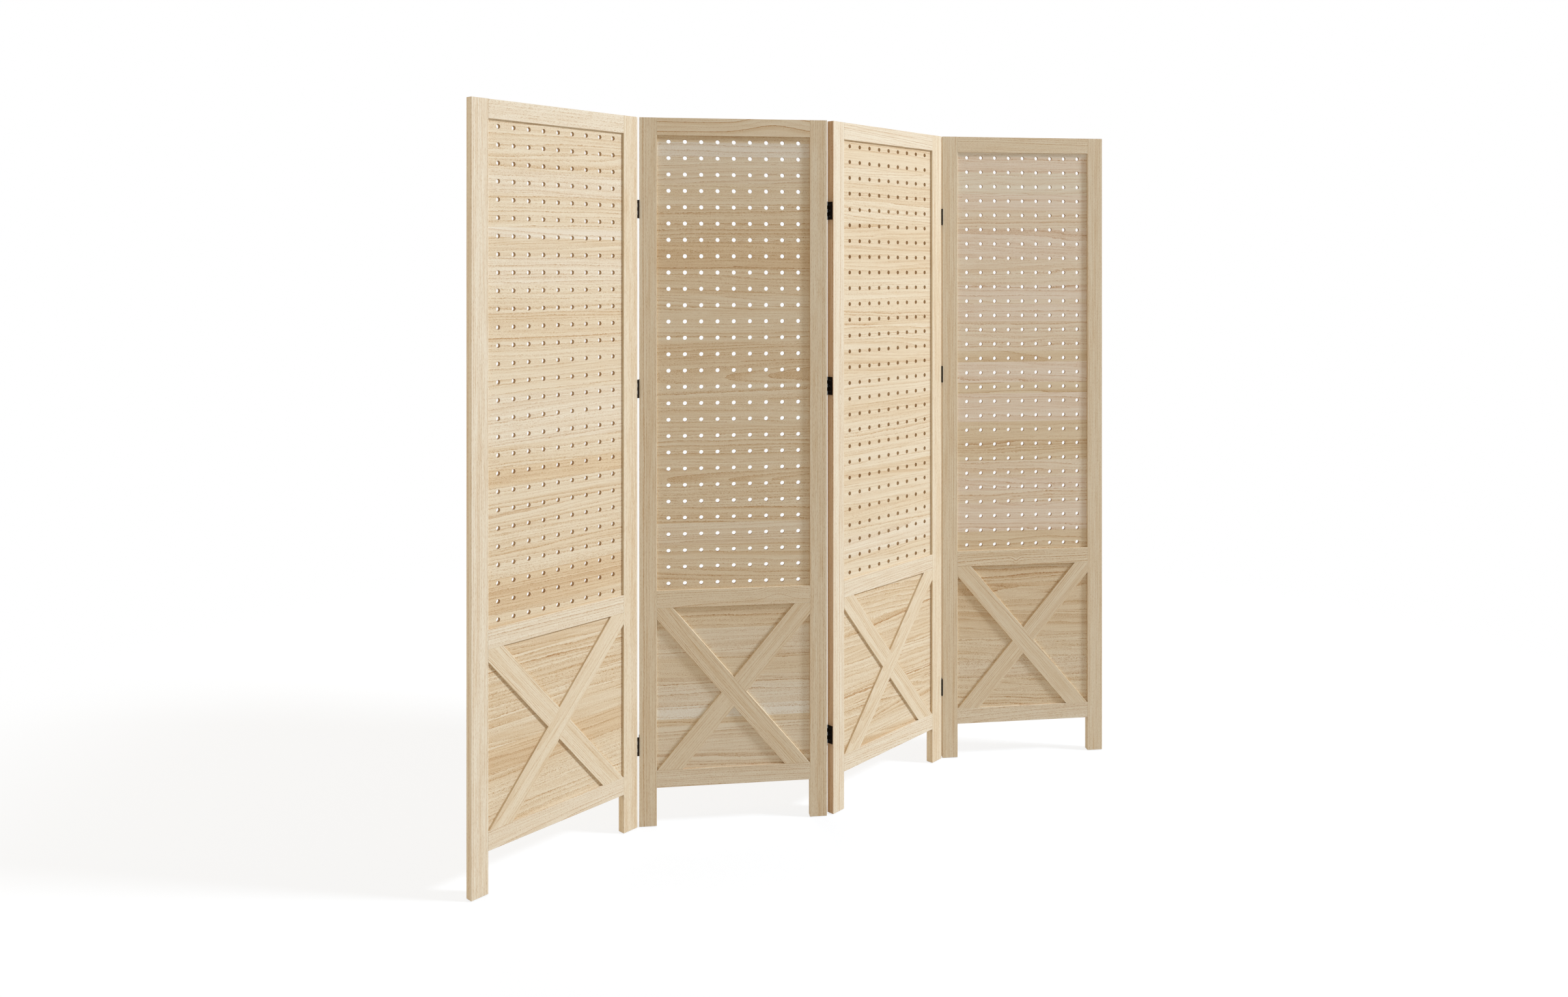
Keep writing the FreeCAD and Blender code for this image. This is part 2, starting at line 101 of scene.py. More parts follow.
def finishSurface(tree, output, colour, roughness, height, look, specular, metallic=0.0):
    # look holds the distance and the strength of the bump that height gives
    bump = addNode(tree, "ShaderNodeBump", inputs={"Height": height, "Distance": look["bumpDistance"],
                                                  "Strength": look["bumpStrength"]})
    shader = addNode(tree, "ShaderNodeBsdfPrincipled",
                     inputs={"Base Color": colour, "Metallic": metallic, "Roughness": roughness,
                             "Specular IOR Level": specular, "Normal": bump.outputs[0]})
    tree.links.new(shader.outputs[0], output.inputs[0])


# Wood grain, shared by every wooden piece.
# Its vector has X along the grain, Z across the face and Y into the depth, in metres.

grainInputs = ("seed", "centre", "spacing", "arch", "waviness", "ripple", "lines", "lineWidth", "broken",
               "lateWood", "streaks", "pores", "poreFineness", "bands", "peakPlace", "peakWidth", "peakHeight")

grainSettings = {
    "seedJumps": (731.0, 97.0, 213.0),  # how far one step of the seed moves the noises
    "bendSizes": (380, 70, 60),         # slow swings of the growth lines
    "bendShare": 4.0,
    "wobbleSizes": (75, 9, 9),          # small ripples on them
    "jitterSizes": (6, 2.2, 2.2),       # rough edges of the lines
    "jitterShare": 4.0,
    "lean": 0.06,                       # sideways drift of the lines, for an arch of 1
    "leanMiddle": 0.4,                  # the draw that gives none
    "slope": 0.2,                       # rise of the pith towards the face, for an arch of 1
    "slopeMiddle": 0.5,
    "pithDepth": 10.0,                  # the least, and below it the most that is added
    "pithDepthSpan": 40.0,
    "unevenScale": 0.05,                # how fast the width of the rings changes, and how much
    "unevenness": 2.2,
    "unevenSeedStep": 3.7,
    "ringSeedStep": 11.3,
    "strengthRange": (0.15, 0.95),      # draws that give a ring's line no strength and all of it
    "leastSteepness": 0.05,
    "lineFadeIn": (0.0, 0.05),          # where a line starts and ends, as shares of a ring
    "lineFadeOut": (0.24, 0.11),
    "lineDepth": 0.95,
    "lineTint": (0.70, 0.49, 0.30, 1),
    "dashSizes": (19, 2.2, 2.2),        # where a growth line is broken
    "dashRoughness": 0.6,
    "dashRange": (0.34, 0.56),          # values of the noise that hide a line and show it
    "lateWoodRise": (0.15, 0.98),       # the shares of a ring between which its wood gets darker
    "lateWoodLeast": 0.15,
    "lateWoodSpan": 0.8,
    "poreSizes": (6.0, 1.1, 1.1),       # short open pores
    "poreRange": (0.47, 0.67),
    "poreRise": (0.4, 0.95),            # the shares of a ring between which pores get more
    "poreLeast": 0.4,
    "poreSpan": 0.6,
    "poreDepth": 0.82,
    "poreTint": (0.74, 0.59, 0.42, 1),
    "bandSizes": (520, 16, 15),         # broad pale and warm bands
    "bandRange": (0.35, 0.65),
    "fibreSizes": (75, 1.5, 1.5),       # silky streaks
    "heights": {"fibre": 0.3, "line": 0.4, "pore": 0.8},
}


def addRings(group, entry, spot, moved, chances):
    # Growth rings round a pith that lies below the face and slowly sinks or rises along the piece,
    # radius = sqrt((z - centre + swing)^2 + (depth of the pith + slope * x)^2)
    look = grainSettings
    along, depth, across = spot
    bend = evenNoise(group, moved, look["bendSizes"], detail=1.0)
    wobble = evenNoise(group, moved, look["wobbleSizes"], detail=2.0)
    jitter = evenNoise(group, moved, look["jitterSizes"], detail=1.0)
    swing = calc(group, "MULTIPLY_ADD", bend, look["bendShare"],
                 calc(group, "MULTIPLY", wobble, entry["ripple"]))
    rough = calc(group, "MULTIPLY", jitter, calc(group, "MULTIPLY", entry["ripple"], look["jitterShare"]))
    swing = calc(group, "MULTIPLY_ADD", swing, entry["waviness"], rough)
    lean = calc(group, "MULTIPLY", calc(group, "SUBTRACT", chances[2], look["leanMiddle"]),
                calc(group, "MULTIPLY", entry["arch"], look["lean"]))
    swing = calc(group, "MULTIPLY_ADD", along, lean, swing)

    # a low peak in the lines, height * exp(-((x - place) / width)^2)
    fromPeak = calc(group, "DIVIDE", calc(group, "SUBTRACT", along, entry["peakPlace"]), entry["peakWidth"])
    squared = calc(group, "MULTIPLY", fromPeak, fromPeak)
    peak = calc(group, "EXPONENT", calc(group, "MULTIPLY", squared, -1.0))
    swing = calc(group, "MULTIPLY_ADD", peak, calc(group, "MULTIPLY", entry["peakHeight"], -1.0), swing)
    sideways = calc(group, "ADD", calc(group, "SUBTRACT", across, entry["centre"]), swing)

    slope = calc(group, "MULTIPLY", calc(group, "SUBTRACT", chances[0], look["slopeMiddle"]),
                 calc(group, "MULTIPLY", entry["arch"], look["slope"]))
    sunk = calc(group, "MULTIPLY_ADD", chances[1], look["pithDepthSpan"], look["pithDepth"])
    below = calc(group, "MULTIPLY_ADD", along, slope, calc(group, "ADD", sunk, depth))
    squared = calc(group, "MULTIPLY", below, below)
    radius = calc(group, "SQRT", calc(group, "MULTIPLY_ADD", sideways, sideways, squared))

    # rings of uneven width, each with a draw of its own
    seedStep = calc(group, "MULTIPLY", entry["seed"], look["unevenSeedStep"])
    uneven = addNode(group, "ShaderNodeTexNoise", noise_dimensions="1D",
                     inputs={"W": calc(group, "MULTIPLY_ADD", radius, look["unevenScale"], seedStep),
                             "Scale": 1.0, "Detail": 2.0})
    rings = calc(group, "MULTIPLY_ADD", uneven.outputs[0], look["unevenness"],
                 calc(group, "DIVIDE", radius, entry["spacing"]))
    rings = calc(group, "MULTIPLY_ADD", entry["seed"], look["ringSeedStep"], rings)
    ringDraw = addNode(group, "ShaderNodeTexWhiteNoise", noise_dimensions="1D",
                       inputs={"W": calc(group, "FLOOR", rings)}).outputs[0]
    steepness = calc(group, "DIVIDE", calc(group, "ABSOLUTE", sideways), radius)
    return calc(group, "FRACT", rings), ringDraw, steepness


def addLines(group, entry, moved, phase, ringDraw, steepness):
    # Dark lines where the rings end, which keep their width where the rings are cut at a low angle
    look = grainSettings
    steepness = calc(group, "MAXIMUM", steepness, look["leastSteepness"])
    fromRing = calc(group, "DIVIDE", calc(group, "SUBTRACT", 1.0, phase),
                    calc(group, "MULTIPLY", steepness, entry["lineWidth"]))
    edge = calc(group, "MULTIPLY", smoothStep(group, fromRing, *look["lineFadeOut"]),
                smoothStep(group, fromRing, *look["lineFadeIn"]))
    dashNoise = scaledNoise(group, moved, look["dashSizes"], roughness=look["dashRoughness"])
    dashes = calc(group, "MULTIPLY_ADD", smoothStep(group, dashNoise, *look["dashRange"]), entry["broken"],
                  calc(group, "SUBTRACT", 1.0, entry["broken"]))
    strength = smoothStep(group, ringDraw, *look["strengthRange"])
    line = calc(group, "MULTIPLY", edge, calc(group, "MULTIPLY", dashes, strength))
    return calc(group, "MULTIPLY", line, entry["lines"])


def addPores(group, entry, moved, phase):
    # Pores that gather in the wood beside each line
    look = grainSettings
    fineness = addNode(group, "ShaderNodeCombineXYZ", inputs={"X": entry["poreFineness"], "Y": 1.0, "Z": 1.0})
    finer = addNode(group, "ShaderNodeVectorMath", operation="MULTIPLY",
                    inputs={0: moved, 1: fineness.outputs[0]})
    poreNoise = scaledNoise(group, finer.outputs[0], look["poreSizes"], detail=1.0)
    gathered = calc(group, "MULTIPLY_ADD", smoothStep(group, phase, *look["poreRise"]), look["poreSpan"],
                    look["poreLeast"])
    return calc(group, "MULTIPLY", smoothStep(group, poreNoise, *look["poreRange"]),
                calc(group, "MULTIPLY", gathered, entry["pores"]))


def makeGrainGroup():
    group = bpy.data.node_groups.new("paulowniaGrain", "ShaderNodeTree")
    face = group.interface
    face.new_socket("grain", in_out="INPUT", socket_type="NodeSocketVector")
    for name in ("light", "dark"):
        face.new_socket(name, in_out="INPUT", socket_type="NodeSocketColor")
    for name in grainInputs:
        face.new_socket(name, in_out="INPUT", socket_type="NodeSocketFloat")
    face.new_socket("colour", in_out="OUTPUT", socket_type="NodeSocketColor")
    face.new_socket("height", in_out="OUTPUT", socket_type="NodeSocketFloat")
    entry = group.nodes.new("NodeGroupInput").outputs
    look = grainSettings

    place = addNode(group, "ShaderNodeVectorMath", operation="SCALE",
                    inputs={0: entry["grain"], "Scale": millimetres}).outputs[0]
    spot = addNode(group, "ShaderNodeSeparateXYZ", inputs={0: place}).outputs
    # each seed moves the noises to another part of the log
    jump = addNode(group, "ShaderNodeVectorMath", operation="SCALE",
                   inputs={0: look["seedJumps"], "Scale": entry["seed"]})
    moved = addNode(group, "ShaderNodeVectorMath", operation="ADD",
                    inputs={0: place, 1: jump.outputs[0]}).outputs[0]
    chance = addNode(group, "ShaderNodeTexWhiteNoise", noise_dimensions="1D",
                     inputs={"W": entry["seed"]}).outputs[1]
    chances = addNode(group, "ShaderNodeSeparateXYZ", inputs={0: chance}).outputs

    phase, ringDraw, steepness = addRings(group, entry, spot, moved, chances)
    line = addLines(group, entry, moved, phase, ringDraw, steepness)
    pores = addPores(group, entry, moved, phase)
    lateWood = calc(group, "MULTIPLY", smoothStep(group, phase, *look["lateWoodRise"]),
                    calc(group, "MULTIPLY_ADD", ringDraw, look["lateWoodSpan"], look["lateWoodLeast"]))
    bands = smoothStep(group, scaledNoise(group, moved, look["bandSizes"]), *look["bandRange"])
    fibre = evenNoise(group, moved, look["fibreSizes"], detail=2.0)

    warmth = calc(group, "MULTIPLY", bands, entry["bands"])
    lateWoodShare = calc(group, "MULTIPLY", entry["lines"], entry["lateWood"])
    warmth = calc(group, "MULTIPLY_ADD", lateWood, lateWoodShare, warmth)
    warmth = calc(group, "MULTIPLY_ADD", fibre, entry["streaks"], warmth, clamp=True)
    colour = mixColours(group, warmth, entry["light"], entry["dark"])
    for mark, depth, tint in ((line, look["lineDepth"], look["lineTint"]),
                              (pores, look["poreDepth"], look["poreTint"])):
        shade = calc(group, "MULTIPLY", mark, depth, clamp=True)
        colour = mixColours(group, shade, colour, tint, "MULTIPLY")

    heights = look["heights"]
    hollow = calc(group, "MULTIPLY_ADD", pores, heights["pore"], calc(group, "MULTIPLY", line, heights["line"]))
    height = calc(group, "SUBTRACT", calc(group, "MULTIPLY", fibre, heights["fibre"]), hollow)
    leave = group.nodes.new("NodeGroupOutput")
    plug(group, leave.inputs["colour"], colour)
    plug(group, leave.inputs["height"], height)
    return group


grainGroup = makeGrainGroup()

# Where each panel stands: its left front edge, worked out from the hinge pins

panelSettings = {
    "width": 0.455,
    "thickness": 0.019,
    "boardThickness": 0.008,
    "fold": math.radians(40),
    "pinInset": 0.002,      # from the panel's edge to the pin line
    "pinProud": 0.001,      # from the panel's face to the pin line
    "openingWidth": 0.371,
    "lowerOpening": 0.3885,
    "braceOffsets": 0.039,  # head and foot together
    "stileMiddles": {"left": 0.021, "right": 0.434},
    "railMiddles": {"bottom": 0.1135, "mid": 0.544, "top": 1.679},
    "crossing": (0.2275, 0.32875),  # of the braces, from the panel's edge and above the floor
    "boardFeet": {"pegboard": 0.560, "lower_board": 0.1295},  # undersides of the boards
}


def panelStands():
    look = panelSettings
    pins = [joint["pos_m"] for joint in frame["joints"]]
    front = -look["pinProud"]
    back = look["thickness"] + look["pinProud"]
    # the pin that each panel hangs on, its turn, and where the pin lies on the panel
    hung = {
        1: (pins[0], look["fold"], (look["width"] + look["pinInset"], front)),
        2: (pins[0], 0.0, (-look["pinInset"], front)),
        3: (pins[1], look["fold"], (-look["pinInset"], back)),
        4: (pins[2], 0.0, (-look["pinInset"], front)),
    }
    stands = {}
    for number, (pin, turn, (x, y)) in hung.items():
        cosine, sine = math.cos(turn), math.sin(turn)
        stands[number] = (pin[0] - (cosine * x - sine * y), pin[1] - (sine * x + cosine * y), turn)
    return stands


stands = panelStands()
braceAngle = math.atan2(panelSettings["lowerOpening"],
                        panelSettings["openingWidth"] - panelSettings["braceOffsets"])

# Tones of the wood, as light wood and dark wood

tones = {
    "cream": ((0.840, 0.728, 0.545, 1), (0.730, 0.565, 0.360, 1)),
    "sand": ((0.818, 0.688, 0.492, 1), (0.700, 0.522, 0.318, 1)),
    "tan": ((0.792, 0.632, 0.418, 1), (0.662, 0.470, 0.272, 1)),
    "pale": ((0.862, 0.768, 0.604, 1), (0.752, 0.602, 0.415, 1)),
    "rosy": ((0.872, 0.762, 0.624, 1), (0.772, 0.605, 0.440, 1)),
    "blush": ((0.866, 0.758, 0.598, 1), (0.762, 0.592, 0.405, 1)),
    "milky": ((0.872, 0.795, 0.650, 1), (0.800, 0.672, 0.500, 1)),
    "grey": ((0.868, 0.800, 0.682, 1), (0.790, 0.685, 0.540, 1)),
    "white": ((0.900, 0.850, 0.740, 1), (0.820, 0.715, 0.560, 1)),
}

# The boards are glued up from strips: the top of each in millimetres above the floor, its tone
# and a number that picks its figure

boardStrips = {
    "panel_1_pegboard": [(1664, "cream", 1), (1598, "cream", 2), (1550, "pale", 3), (1496, "cream", 4),
                         (1424, "milky", 5), (1404, "cream", 6), (1362, "pale", 7), (1300, "cream", 8),
                         (1240, "sand", 29), (1180, "cream", 10), (1122, "cream", 11), (1062, "pale", 12),
                         (1006, "pale", 13), (950, "cream", 14), (904, "tan", 15), (866, "cream", 16),
                         (806, "cream", 17), (772, "cream", 18), (724, "sand", 19), (708, "cream", 20),
                         (664, "tan", 21), (592, "sand", 22)],
    "panel_2_pegboard": [(1664, "sand", 31), (1639, "grey", 32), (1607, "pale", 33), (1540, "cream", 34),
                         (1480, "sand", 35), (1400, "tan", 36), (1335, "sand", 37), (1270, "cream", 38),
                         (1234, "cream", 39), (1160, "sand", 40), (1110, "sand", 41), (1060, "cream", 42),
                         (1020, "cream", 43), (965, "cream", 44), (930, "cream", 45), (857, "sand", 46),
                         (820, "cream", 47), (760, "sand", 48), (722, "pale", 49), (670, "cream", 50),
                         (612, "sand", 51)],
    "panel_3_pegboard": [(1664, "sand", 61), (1590, "cream", 62), (1556, "sand", 63), (1505, "cream", 64),
                         (1450, "sand", 65), (1408, "sand", 66), (1372, "sand", 67), (1310, "cream", 68),
                         (1255, "sand", 69), (1190, "cream", 70), (1130, "sand", 71), (1065, "cream", 72),
                         (1000, "sand", 73), (950, "cream", 74), (905, "sand", 75), (885, "cream", 76),
                         (830, "sand", 77), (795, "cream", 78), (735, "sand", 79), (700, "cream", 80),
                         (664, "pale", 81), (615, "sand", 82), (600, "cream", 83)],
    "panel_4_pegboard": [(1664, "grey", 91), (1644, "rosy", 92), (1600, "milky", 93), (1541, "rosy", 94),
                         (1500, "blush", 95), (1445, "rosy", 96), (1365, "blush", 97), (1290, "rosy", 98),
                         (1252, "blush", 99), (1240, "rosy", 100), (1190, "blush", 101), (1112, "sand", 118),
                         (1080, "rosy", 103), (1025, "sand", 104), (995, "rosy", 105), (917, "sand", 117),
                         (808, "blush", 107), (760, "rosy", 108), (724, "blush", 109), (690, "rosy", 110),
                         (616, "sand", 111)],
    "panel_1_lower_board": [(530, "sand", 121), (494, "cream", 122), (432, "sand", 123), (410, "cream", 124),
                            (366, "sand", 125), (350, "cream", 126), (304, "tan", 127), (252, "sand", 128),
                            (222, "cream", 129), (180, "cream", 130)],
    "panel_2_lower_board": [(530, "sand", 141), (468, "pale", 142), (398, "cream", 143), (352, "pale", 144),
                            (331, "milky", 145), (296, "milky", 145), (282, "white", 146), (252, "sand", 147),
                            (236, "pale", 148), (180, "pale", 149)],
    "panel_3_lower_board": [(530, "cream", 151), (445, "sand", 152), (420, "cream", 153), (390, "sand", 154),
                            (352, "cream", 155), (262, "sand", 156), (246, "cream", 157), (213, "sand", 158),
                            (190, "cream", 159), (150, "sand", 160)],
    "panel_4_lower_board": [(530, "sand", 161), (472, "tan", 162), (460, "sand", 163), (440, "sand", 164),
                            (404, "sand", 165), (332, "cream", 166), (308, "cream", 167), (262, "pale", 168),
                            (212, "cream", 169)],
}

# How each kind of piece is cut from the log. centre is the pith's place across the grain, in
# millimetres from the middle of the piece, spacing the usual width of a ring, and the peak a
# low rise in the growth lines

plainCut = {"ripple": 0.45, "lateWood": 0.6, "lineWidth": 1.0, "poreFineness": 1.0, "peakPlace": 0.0,
            "peakWidth": 30.0, "peakHeight": 0.0}

cuts = {
    "stile": {"tilt": math.pi / 2, "centre": 75.0, "spacing": 4.0, "arch": 0.05, "waviness": 1.2, "lines": 0.7,
              "broken": 0.3, "streaks": 2.7, "pores": 0.6, "bands": 0.45},
    "rail": {"tilt": 0.0, "centre": -32.0, "spacing": 4.5, "arch": 0.5, "waviness": 3.0, "lines": 0.65,
             "broken": 0.8, "streaks": 2.2, "pores": 1.0, "bands": 0.35, "poreFineness": 1.8},
    "brace": {"tilt": braceAngle, "centre": 40.0, "spacing": 3.6, "arch": 0.25, "waviness": 3.0, "lines": 0.75,
              "broken": 0.4, "streaks": 2.8, "pores": 0.5, "bands": 0.45, "poreFineness": 1.5},
    "board": {"tilt": 0.0, "centre": 0.0, "spacing": 8.0, "arch": 0.8, "waviness": 5.0, "lines": 0.75,
              "broken": 0.85, "streaks": 1.7, "pores": 1.0, "bands": 0.40, "ripple": 1.1, "lateWood": 1.1,
              "lineWidth": 0.6, "poreFineness": 2.5},
}

# Pieces whose figure stands out in the photograph

ownFiguresAndShade = {
    # panel 3's left stile gets a painted shade on its left edge face, where panel 2 shades it
    "panel_3_left_stile": {"paintedEdgeShade": (0.82, 0.69, 0.60, 1)},
    "panel_1_mid_rail": {"centre": -40.0, "arch": 1.2, "lines": 0.8},
    "panel_2_mid_rail": {"centre": -34.0, "peakPlace": 107.0, "peakWidth": 34.0, "peakHeight": 14.0,
                         "lines": 0.7},
    "panel_3_mid_rail": {"centre": -40.0, "arch": 1.2, "lines": 0.8},
    "panel_4_mid_rail": {"peakPlace": -20.0, "peakWidth": 9.0, "peakHeight": -7.0, "lines": 1.1},
    "panel_2_top_rail": {"peakPlace": 95.0, "peakWidth": 72.0, "peakHeight": 17.0, "spacing": 6.0, "lines": 1.1,
                         "broken": 0.2, "pores": 0.7, "figure": 25.3},
    "panel_3_pegboard": {"lines": 0.65, "pores": 0.8},
    "panel_1_lower_board": {"waviness": 7.0, "spacing": 10.0, "lines": 0.9, "pores": 1.3, "bands": 0.55},
    "panel_2_lower_board": {"waviness": 7.0, "spacing": 10.0, "lines": 0.85, "broken": 0.7, "pores": 1.1,
                            "bands": 0.25},
    "panel_3_lower_board": {"waviness": 7.0, "spacing": 10.0, "lines": 0.9, "pores": 1.3, "bands": 0.5},
    "panel_4_lower_board": {"waviness": 9.0, "spacing": 12.0, "lines": 0.9, "broken": 0.6, "pores": 1.4,
                            "bands": 0.45},
    "panel_4_pegboard": {"waviness": 9.0, "spacing": 9.5, "broken": 0.5, "pores": 0.7},
    "panel_1_long_brace_front": {"centre": 9.0, "arch": 0.9, "waviness": 4.0},
    "panel_3_long_brace_front": {"centre": 9.0, "arch": 0.9, "waviness": 4.0},
    "panel_2_long_brace_front": {"centre": 26.0, "arch": 0.7},
    "panel_4_long_brace_front": {"centre": 26.0, "arch": 0.7},
}

stripSettings = {
    "arched": (41, 46, 118),         # figures of the strips that are cut close to the pith
    "archedPith": 0.3,               # from the middle of such a strip, as a share of half its height
    "pithBeyond": (0.008, 0.080),    # from the edge of any other strip
    "figureScale": 200.0,
}

surfaceSettings = {
    "endGrainTint": (0.66, 0.56, 0.44, 1),
    "wallFade": (0.0001, 0.0004),    # depths below a board's face where the end grain starts
    "paintedShadeFade": (0.0006, 0.0003),    # distances from a stile's edge where its painted shade ends
    "roughness": 0.62,
    "roughnessSwing": 0.10,
    "specular": 0.32,
    "bumpDistance": 0.00025,
    "bumpStrength": 0.6,
}


def grainVector(tree, stand, tilt, middle=(0.0, 0.0)):
    # Object coordinates seen from the panel's own edge, with X turned to run along the grain.
    # middle is the piece's own middle on the panel, as x and height
    x, y, turn = stand
    over, up = middle
    texture = addNode(tree, "ShaderNodeTexCoord")
    mapping = addNode(tree, "ShaderNodeMapping", vector_type="TEXTURE",
                      inputs={"Vector": texture.outputs["Object"],
                              "Location": (x + over * math.cos(turn), y + over * math.sin(turn), up),
                              "Rotation": (0.0, -tilt, turn)})
    return mapping.outputs[0]


def stripRamps(tree, vector, strips, foot):
    # Steps up the height of a board: light tone, dark tone, and the strip's figure and pith
    look = stripSettings
    draw = random.Random(strips[0][2])
    tops = [top / millimetres for top, tone, figure in strips]
    span = tops[0] - foot
    height = partOf(tree, vector, "Z")
    position = addNode(tree, "ShaderNodeMapRange",
                       inputs={"Value": height, "From Min": foot, "From Max": tops[0]}).outputs[0]
    rows = []
    for (top, tone, figure), underside in zip(strips, tops[1:] + [foot]):
        half = (top / millimetres - underside) / 2
        if figure in look["arched"]:
            away = half * look["archedPith"]
        else:
            away = half + draw.uniform(*look["pithBeyond"])
        pith = underside + half - foot + draw.choice((-1, 1)) * away
        # a stop's colour holds 0 to 1, so the pith has half a board's height of room on each side
        squeezed = (figure / look["figureScale"], (pith / span + 0.5) / 2, 0.0, 1.0)
        rows.append(((underside - foot) / span, *tones[tone], squeezed))
    rows.sort()
    ramps = []
    for column in (1, 2, 3):
        ramp = tree.nodes.new("ShaderNodeValToRGB")
        ramp.color_ramp.interpolation = "CONSTANT"
        stops = ramp.color_ramp.elements
        for row in rows[2:]:
            stops.new(row[0])
        for stop, row in zip(stops, rows):
            stop.position = row[0]
            stop.color = row[column]
        plug(tree, ramp.inputs[0], position)
        ramps.append(ramp.outputs[0])
    light, dark, squeezed = ramps
    figure = calc(tree, "MULTIPLY", partOf(tree, squeezed, "X"), look["figureScale"])
    centre = calc(tree, "MULTIPLY_ADD", partOf(tree, squeezed, "Y"), 2 * millimetres * span,
                  millimetres * (foot - 0.5 * span))
    return light, dark, figure, centre


def makeWood(name, stand, cut, seed=0.0, tone="cream", middle=(0.0, 0.0), strips=None, foot=0.0, backTilt=None):
    material, tree, output = newMaterial(name)
    cut = {**plainCut, **cut, **ownFiguresAndShade.get(name, {})}
    vector = grainVector(tree, stand, cut["tilt"], middle)
    light, dark = tones[tone]
    centre = cut["centre"]
    seed = cut.get("figure", seed)
    if strips:
        light, dark, seed, centre = stripRamps(tree, vector, strips, foot)
    if backTilt is not None:
        # the braces on the back lean the other way
        depth = partOf(tree, grainVector(tree, stand, 0.0), "Y")
        behind = calc(tree, "GREATER_THAN", depth, panelSettings["thickness"] / 2)
        # the mix node keeps its vectors in sockets 4 and 5
        backVector = grainVector(tree, stand, backTilt, middle)
        vector = addNode(tree, "ShaderNodeMix", data_type="VECTOR",
                         inputs={0: behind, 4: vector, 5: backVector}).outputs[1]
    grain = addNode(tree, "ShaderNodeGroup", node_tree=grainGroup)
    values = {**cut, "grain": vector, "seed": seed, "light": light, "dark": dark, "centre": centre}
    for socket in grain.inputs:
        plug(tree, socket, values[socket.name])
    colour = grain.outputs["colour"]
    look = surfaceSettings
    if strips:
        # the walls of the holes show darker end grain
        inward = calc(tree, "SUBTRACT", partOf(tree, vector, "Y"), panelSettings["thickness"] / 2)
        wall = smoothStep(tree, calc(tree, "ABSOLUTE", inward),
                          *(panelSettings["boardThickness"] / 2 - depth for depth in look["wallFade"]))
        colour = mixColours(tree, wall, colour, look["endGrainTint"], "MULTIPLY")
    if "paintedEdgeShade" in cut:
        # painted shade on this stile's outer edge face, which stands in the narrow gap beside the next panel
        edge = smoothStep(tree, partOf(tree, grainVector(tree, stand, 0.0), "X"), *look["paintedShadeFade"])
        colour = mixColours(tree, edge, colour, cut["paintedEdgeShade"], "MULTIPLY")
    height = grain.outputs["height"]
    roughness = calc(tree, "MULTIPLY_ADD", height, -look["roughnessSwing"], look["roughness"])
    finishSurface(tree, output, colour, roughness, height, look, look["specular"])
    return material


def dress(node, material):
    for slot in frame["nodes"][node].material_slots:
        slot.material = material


def dressWood(node, stand, cut, **options):
    dress(node, makeWood(node, stand, cut, **options))


seedSteps = {"panel": 10.0, "stile": 0.37, "rail": 3.11, "longBrace": 6.19, "halfBraces": 8.23}
crossing = panelSettings["crossing"]

for number, stand in stands.items():
    panel = f"panel_{number}"
    rising = number in (1, 3)  # the long brace in front rises to the right
    lean = braceAngle if rising else -braceAngle
    ownSeed = seedSteps["panel"] * number
    for index, (side, over) in enumerate(panelSettings["stileMiddles"].items()):
        dressWood(f"{panel}_{side}_stile", stand, cuts["stile"], seed=ownSeed + seedSteps["stile"] + index,
                  tone="pale" if rising and side == "left" else "cream", middle=(over, 0.0))
    for index, (level, up) in enumerate(panelSettings["railMiddles"].items()):
        dressWood(f"{panel}_{level}_rail", stand, cuts["rail"], seed=ownSeed + seedSteps["rail"] + index,
                  tone="pale" if rising or level == "bottom" else "cream", middle=(crossing[0], up))
    for kind, foot in panelSettings["boardFeet"].items():
        node = f"{panel}_{kind}"
        dressWood(node, stand, cuts["board"], strips=boardStrips[node], foot=foot)
    for index, (side, tilt) in enumerate((("front", lean), ("back", -lean))):
        dressWood(f"{panel}_long_brace_{side}", stand, {**cuts["brace"], "tilt": tilt},
                  seed=ownSeed + seedSteps["longBrace"] + index, middle=crossing)
    dressWood(f"{panel}_half_braces", stand, {**cuts["brace"], "tilt": -lean},
              seed=ownSeed + seedSteps["halfBraces"], middle=crossing, backTilt=lean)
print("wood dressed")


# Hinges, screws and glides

hardwareSettings = {
    "leaf": {"colour": (0.016, 0.011, 0.008, 1), "wornColour": (0.036, 0.027, 0.020, 1), "metallic": 0.0,
             "specular": 0.06, "roughness": 0.55, "grainSize": 0.0006},
    "pin": {"colour": (0.018, 0.013, 0.010, 1), "wornColour": (0.05, 0.040, 0.032, 1), "metallic": 0.0,
            "specular": 0.1, "roughness": 0.5, "grainSize": 0.0005},
    "screw": {"colour": (0.20, 0.19, 0.175, 1), "wornColour": (0.34, 0.32, 0.30, 1), "metallic": 1.0,
              "specular": 0.5, "roughness": 0.36, "grainSize": 0.0004},
    "glide": {"colour": (0.70, 0.68, 0.64, 1), "wornColour": (0.60, 0.57, 0.52, 1), "metallic": 0.0,
              "specular": 0.4, "roughness": 0.5, "grainSize": 0.0008},
}

wearSettings = {
    "noiseRoughness": 0.6,
    "patchSize": 12,                 # times the size of the speckle
    "patchRange": (0.5, 0.75),
    "speckleRange": (0.35, 0.7),
    "roughnessSpan": 0.15,
    "roughnessBelow": 0.07,
    "bumpDistance": 0.00003,
    "bumpStrength": 0.5,
}


